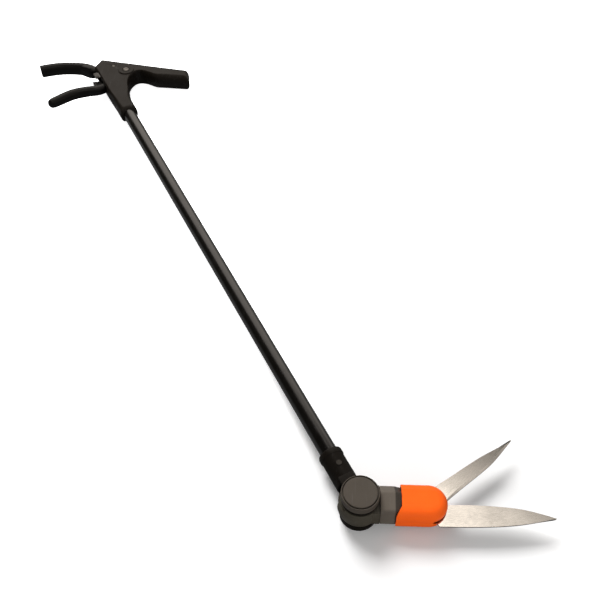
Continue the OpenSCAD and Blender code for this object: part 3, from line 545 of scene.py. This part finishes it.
# The tilt button: a moulded black cup over the hub of the near cheek, its round face set in a thin
# rim by a deep groove. A coil spring lifts it and a clip under the cheek keeps it in.
def coil(r, wire, low, high, turns):
    """A helical spring: a round wire carried round the axis at radius r while it climbs evenly from
    the lower to the upper end."""
    a = np.linspace(0, 2 * math.pi * turns, 24 * turns + 1)[:, None]
    s = np.arange(12) * math.pi / 6
    out = r + wire * np.cos(s)
    climb = low + wire + (high - low - 2 * wire) * a / a[-1] + wire * np.sin(s)
    return np.stack([out * np.cos(a), out * np.sin(a), climb], -1)


COIL_LOW, COIL_HIGH = 16.6, 24.9
button_side = [[0.02, 27.8], [7, 27.83], [13, 27.9], [18, 27.98], [19.2, 28], [19.65, 27.86], [19.9, 27.6],
               [20, 27.2], [20, 24.95], [21.4, 24.95], [21.4, 26.9], [21.5, 27.2], [21.8, 27.3],
               [22.15, 27.22], [22.45, 26.9], [22.6, 26.5], [22.6, 18.1], [22.3, 17.8], [19.3, 17.8],
               [19.3, 24], [15, 24], [15, 25], [4, 25], [4, 7.9], [3.2, 7.8], [3.2, 7], [4, 6.9], [4, 6.6],
               [0.02, 6.6]]
# Painted light: the cup's black is given a base colour many times lighter than the shells, standing in for
# the light on its face.
button_black_painted_lit = coated("button_black_painted_lit", (0.05, 0.0415, 0.033), (0.07, 0.0585, 0.047), 0.46, 0.9, 0.045,
                      scuff=0.3, specular=0.25)
fitted(solid("tilt_disc", [skin(on_shaft(turned(button_side, 128)))]), button_black_painted_lit, "button",
       ["tilt_button"])
spring = fitted(solid("button_coil", [skin(on_shaft(coil(6.4, 0.5, COIL_LOW, COIL_HIGH, 3)))]), bright_steel,
                "shaft", ["button_spring"])
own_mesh(spring)
dressed(bright_steel, "button_clip", "swivel_retainer", "cover_screws", "knuckle_screws")


# The ball and the far cover: black nylon again. The ball is split along the middle, screwed from
# the far side, and carries a short tube that the collar turns on. The cover is the foot it lies on.
# Painted light: the ball's black is given a base colour far lighter than the far cover's, standing in for the
# light on it.
ball_black_painted_lit = coated("ball_black_painted_lit", (0.042, 0.0365, 0.026), (0.06, 0.053, 0.039), 0.42, 0.9, 0.04,
                    scuff=0.25, specular=0.3)
dressed(ball_black_painted_lit, "knuckle_near", "knuckle_far")
dressed(spark_black, "far_cover")


# The swivel collar: a six-sided moulding with softened corners and a tapered front rim, bored for
# the tube on the ball and tenoned into the orange cap. Its black is painted much lighter than the
# shells, as painted light, and its taper, next to the cap, is painted darker, as painted shade.
def about_x(profile, sides=96):
    """A turned form whose profile of radius and distance runs along the head."""
    return turned(profile, sides)[..., [2, 0, 1]]


corner = np.radians(76.5 + 60 * np.arange(6))
hexagon = np.stack([np.cos(corner), np.sin(corner)], 1)
stations = np.array([[23.4, 21.7], [23.7, 22.3], [24.3, 22.6], [40.6, 22.6], [41.1, 22.52], [47.4, 21.2],
                     [47.8, 20.95], [48, 20.5]])
collar_rings = filled(stations[:, 1, None, None] * hexagon, 1.2, 3)
collar_rings = np.concatenate([np.broadcast_to(stations[:, 0, None, None], collar_rings.shape[:2] + (1,)),
                               collar_rings], -1)
bowl = np.linspace(20, 23.9, 9)
bore = np.concatenate([np.stack([np.sqrt(26.4 ** 2 - bowl ** 2), bowl], 1),
                       [[11.06, 24], [11.06, 38], [15, 38], [15, 45], [7.2, 45], [7.2, 60]]])
# Painted light: this black nylon gets a base colour far lighter than the shells, standing in for the light on
# its upper facets.
collar_black_painted_light_and_shade = coated("collar_black_painted_light_and_shade", (0.09, 0.075, 0.06), (0.125, 0.105, 0.086), 0.44, 0.9, 0.04,
                      scuff=0.22, specular=0.3)
tree = collar_black_painted_light_and_shade.node_tree
base = tree.nodes["Principled BSDF"].inputs["Base Color"]
along = node(tree, "ShaderNodeSeparateXYZ", {"Vector": node(tree, "ShaderNodeTexCoord", {})["Object"]})["X"]
TAPER_START, TAPER_FULL = 0.0402, 0.0412
# Painted shade: over the taper next to the cap the base colour is darkened towards near black.
painted_shade_by_cap = ramp(tree, along, TAPER_START, TAPER_FULL, 0, 0.8)
tree.links.new(blended(tree, painted_shade_by_cap, base.links[0].from_socket, (0.01, 0.008, 0.006, 1)), base)
collar = solid("collar_hexagon", [skin(on_head(collar_rings)),
                                  skin(on_head(brick((47.9, -16.6, -12.2), (57, 16.6, 12.2))))])
fitted(cut(collar, on_head(about_x(bore))), collar_black_painted_light_and_shade, "swivel", ["swivel_collar"], 0.2)


# The orange cap: two halves in through-coloured polypropylene with a soft satin gloss, one long
# rounded form whose nose is turned about the blade pivot, slotted there for the blades and a
# little longer on its lower side. Inside, a coil spring sends the draw link back.
CAP_R, CAP_BACK, CAP_WALL = 22.5, 48.3, 2.6
CAP_FLAT, CAP_ROUND = 5, 13
LIP_TOP = 4.9
CAP_SLANT = 6.5
BLADE_AXIS = 80
nose = np.radians(np.linspace(-90, 90, 61))
run = np.concatenate([np.linspace(CAP_BACK, 69.4, 15), [69.7, 70, 70.3, 70.6], np.linspace(72, 79.5, 6)])
plan = np.concatenate([np.stack([run, run * 0, run * 0 - 1], 1),
                       np.stack([nose * 0 + BLADE_AXIS, np.cos(nose), np.sin(nose)], 1),
                       np.stack([run, run * 0, run * 0 + 1], 1)[::-1]])
slot_start = np.where(plan[:, 2] > 0, 69.7, 85)
lip = 3.05 * np.clip((plan[:, 0] + plan[:, 1] * CAP_R - slot_start) / 0.9, 0, 1)
rise = np.radians(np.linspace(0, 90, 22))
edge_high = np.concatenate([[0, 0.35, 1.5], CAP_FLAT + CAP_ROUND * np.sin(rise), [CAP_FLAT + CAP_ROUND]])
edge_deep = np.concatenate([[0.35, 0, 0], CAP_ROUND * (1 - np.cos(rise)), [CAP_ROUND + 0.8]])
orange = coated("orange", (0.98, 0.115, 0.008), (1.0, 0.14, 0.012), 0.36, 1.4, 0.03,
                scuff=0.02, specular=0.15)
for side, name in ((1, "near"), (-1, "far")):
    rho = CAP_R - edge_deep[:, None]
    y = rho * plan[:, 2]
    longer = CAP_SLANT * np.clip((-y - 10) / 12, 0, 1) * (plan[:, 1] == 0)
    x = plan[:, 0] + rho * plan[:, 1] - longer * (BLADE_AXIS - plan[:, 0]) / (BLADE_AXIS - CAP_BACK)
    high = edge_high[:, None]
    z = np.where(high < LIP_TOP, lip + (LIP_TOP - lip) * high / LIP_TOP, high)
    rings = np.stack([x, y, z], -1)
    top = list(range((len(edge_high) - 1) * len(plan), len(edge_high) * len(plan)))
    if side < 0:
        rings = rings[:, ::-1] * np.array([1, 1, -1])
    corners, quads = skin(on_head(rings), around=False, ends=False)
    cap = walled(solid(f"cap_half_{name}", [(corners, quads + [top])], outward=False), CAP_WALL)
    if side < 0:
        cut(cap, *[on_head(t) for t in (peg(52.5, 12, -20, -15.6, 3.3), peg(52.5, -12, -20, -15.6, 3.3),
                                       peg(BLADE_AXIS, 0, -20, -14, 6.6))])
    fitted(cap, orange, "swivel", [f"cap_{name}"], 0.25)
dressed(bright_steel, "cap_screws", "pivot_nut", "pivot_bolt", "tail_pin_steel")
dressed(dull_steel, "pivot_washer", "draw_link")
SEAT, FLANGE = 44, 61.5
spring = fitted(solid("return_coil", [skin(on_head(coil(4.6, 0.6, SEAT, FLANGE, 5)[..., [2, 0, 1]]))]),
                bright_steel, "swivel", ["return_spring"])
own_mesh(spring)


# The blades: stamped spring steel 2.5 mm thick, ground and brushed, each with a long bevel. The
# fixed one lies along the head with its bevel below, and the moving one swings on the pivot bolt.
spine = through([[92, -25.4, 0.1], [127, -24.8, 0.1], [158, -23.2, 0.1], [184, -20.3, 0.1],
                 [208, -15.8, 0.2], [228.3, -10.6, 0.4]], 12)
edge = through([[228.3, -10.6, 0.4], [209.5, -5, 1], [187, 0, 1], [160.7, 2.3, 1], [129.5, 3.1, 1],
                [102.6, 2.2, 0.6]], 12)
heel = [[92, 9, 0], [82, 12, 0], [64, 12, 0], [64, -12, 0], [80, -14, 0], [89.5, -22, 0.1]]
fixed_ring = np.concatenate([spine[:-1], edge, heel])
fixed_steel = drawn("fixed_steel", (0.5, 0.48, 0.45), (0.68, 0.655, 0.615), 0.11, math.pi / 2, 1400, 0.006)
fixed = levelled(fixed_ring, [[-2.55, 3], [-0.8, 0], [-0.2, 0], [-0.05, 0.15]], 3, 0)
fitted(cut(solid("blade_fixed", [skin(on_head(fixed))]), on_head(peg(BLADE_AXIS, 0, -9, 9, 3.03))),
       fixed_steel, "swivel", ["fixed_blade"], crease=14)
spine = through([[142.7, 0, 0.4], [118, 3.6, 0.1], [89, 7.7, 0.1], [47, 10.6, 0.1], [27, 12.2, 0.1]], 12)
edge = through([[24, -9.7, 0.6], [47, -9.1, 1], [71, -8.9, 1], [96, -8.2, 1], [117, -5.2, 1],
                [142.7, 0, 0.4]], 12)
heel = [[10, 12, 0], [0, 11, 0], [-8, 8, 0], [-11, 0, 0], [-8, -8, 0], [10, -11, 0]]
OPENED = math.radians(40.4)
TAIL_PIN_X, TAIL_PIN_Y = 85.198, -13.536
swung = levelled(np.concatenate([spine, heel, edge[:-1]]), [[0.05, 0.15], [0.2, 0], [1.7, 0], [2.5, 3]], 3, 0)
x, y, z = np.moveaxis(swung, -1, 0)
swung = np.stack([BLADE_AXIS + x * math.cos(OPENED) - y * math.sin(OPENED),
                  x * math.sin(OPENED) + y * math.cos(OPENED), z], -1)
tail = [[71, -4], [80.8, -13.54], [85.2, -17.94], [89.6, -13.54], [89, -4]]
moving_steel = drawn("moving_steel", (0.5, 0.48, 0.45), (0.68, 0.655, 0.615), 0.11, OPENED + math.pi / 2,
                     1400, 0.006)
moving = solid("blade_moving", [skin(on_head(swung)), skin(on_head(plate(tail, 0.05, 2.5, 0.2)))])
cut(moving, on_head(peg(BLADE_AXIS, 0, -9, 9, 3.05)), on_head(peg(TAIL_PIN_X, TAIL_PIN_Y, -9, 9, 2.03)))
fitted(moving, moving_steel, "blade", ["moving_blade"], crease=14)


# The table and the light: a wide white sweep with a glow that only the camera sees, painted light
# that is faint round the head so a soft shadow stays there and strong further off, where it washes out
# shadows; one large softbox behind on the left, a small low fill, and a dim room with a bright band
# behind the tool.
# The camera stands at the photograph's place.
def soft_ramp(tree, value, low, high, first, last):
    """A ramp that starts and ends softly."""
    return ramp(tree, value, low, high, first, last, "SMOOTHSTEP")


TABLE_HALF = 9
HEAD_MIDDLE = (0.07, 0, 0)
across = np.linspace(-TABLE_HALF, TABLE_HALF, 3)
x, y = np.meshgrid(across, across)
table = solid("table", [skin(np.stack([x, y, x * 0], -1), around=False, ends=False)], outward=False)
sweep = bpy.data.materials.new("table_white")
sweep.use_nodes = True
tree = sweep.node_tree
tree.nodes.remove(tree.nodes["Principled BSDF"])
path = node(tree, "ShaderNodeLightPath", {})
shown = joined(tree, "MAXIMUM", path["Is Camera Ray"], path["Is Transmission Ray"])
dull = node(tree, "ShaderNodeBsdfDiffuse", {"Color": (0.2, 0.2, 0.2, 1)})["BSDF"]
matt = node(tree, "ShaderNodeBsdfDiffuse", {"Color": (0.9, 0.9, 0.9, 1)})["BSDF"]
ground = node(tree, "ShaderNodeNewGeometry", {})["Position"]
apart = node(tree, "ShaderNodeVectorMath", {0: ground, 1: HEAD_MIDDLE}, operation="DISTANCE")["Value"]
# Painted light: the glow rises from 0.02 at the head to 0.9 from 0.4 m off, so shadows away from the head are
# washed out.
painted_glow = node(tree, "ShaderNodeEmission", {"Strength": soft_ramp(tree, apart, 0.1, 0.4, 0.02, 0.9)})["Emission"]
lit = node(tree, "ShaderNodeAddShader", {0: matt, 1: painted_glow})["Shader"]
pick = node(tree, "ShaderNodeMixShader", {"Fac": shown, 1: dull, 2: lit})["Shader"]
put(tree, tree.nodes["Material Output"], {"Surface": pick})
table.data.materials.append(sweep)

room = bpy.data.worlds.new("room")
bpy.context.scene.world = room
room.use_nodes = True
tree = room.node_tree
toward = node(tree, "ShaderNodeTexCoord", {})["Generated"]
split = node(tree, "ShaderNodeSeparateXYZ", {"Vector": toward})
east, north, height = (split[axis] for axis in "XYZ")
# What the steel and the gloss mirror: a band behind the tool that brightens upwards, a dome overhead
# that starts a little left of the middle and dims on the right, and faint walls in front and right.
behind = soft_ramp(tree, joined(tree, "MULTIPLY_ADD", east, 0.6, north), 0.17, 0.3, 0, 1)
above = soft_ramp(tree, joined(tree, "MULTIPLY_ADD", east, -0.4, north), 0.55, 0.6, 0, 1)
band = joined(tree, "MULTIPLY", soft_ramp(tree, height, 0, 0.5, 0.2, 2.2), behind)
band = joined(tree, "MULTIPLY", band, above)
dome = joined(tree, "POWER", ramp(tree, height, 0.812, 0.868, 0, 1), 2.2)
dome = joined(tree, "MULTIPLY", dome, soft_ramp(tree, east, -0.15, 0, 0, 1.9))
dome = joined(tree, "MULTIPLY", dome, ramp(tree, east, 0.15, 0.3, 1.05, 0.4))
walls = joined(tree, "ADD", soft_ramp(tree, north, -0.35, -0.05, 0.35, 0.04),
               soft_ramp(tree, east, 0.35, 0.6, 0, 0.5))
mirrored = joined(tree, "ADD", joined(tree, "ADD", band, dome), walls)
# Matt faces get an even dim light instead, and the camera sees plain white past the table.
path = node(tree, "ShaderNodeLightPath", {})
level = node(tree, "ShaderNodeMix", {"Factor": path["Is Diffuse Ray"], "A": mirrored, "B": 0.27})["Result"]
plain = joined(tree, "MAXIMUM", path["Is Diffuse Ray"], path["Is Camera Ray"])
put(tree, tree.nodes["Background"], {
    "Strength": joined(tree, "MAXIMUM", level, path["Is Camera Ray"]),
    "Color": blended(tree, plain, (1, 0.925, 0.845, 1), (1, 1, 1, 1))})

for name, width, depth, power, place, turn in (
        ("key", 0.7, 0.7, 27, (-0.5, 0.97, 1.15), (-30, -20)),
        ("fill", 0.4, 0.2, 1.5, (0.2, -0.5, 0.2), (72, 0))):
    softbox = bpy.data.lights.new(name, "AREA")
    softbox.shape = "RECTANGLE"
    softbox.size = width
    softbox.size_y = depth
    softbox.energy = power
    lamp = bpy.data.objects.new(name, softbox)
    lamp.location = place
    lamp.rotation_euler = (math.radians(turn[0]), math.radians(turn[1]), 0)
    lamp.visible_glossy = False
    bpy.context.scene.collection.objects.link(lamp)

lens = bpy.data.cameras.new("camera")
lens.sensor_fit = "HORIZONTAL"
lens.sensor_width = 36
lens.lens = 51
camera = bpy.data.objects.new("camera", lens)
camera.location = (-0.0523, -0.4861, 0.9245)
camera.rotation_euler = (math.radians(41.75), 0, math.radians(2))
bpy.context.scene.collection.objects.link(camera)
bpy.context.scene.camera = camera
bpy.context.scene.view_settings.view_transform = "Standard"
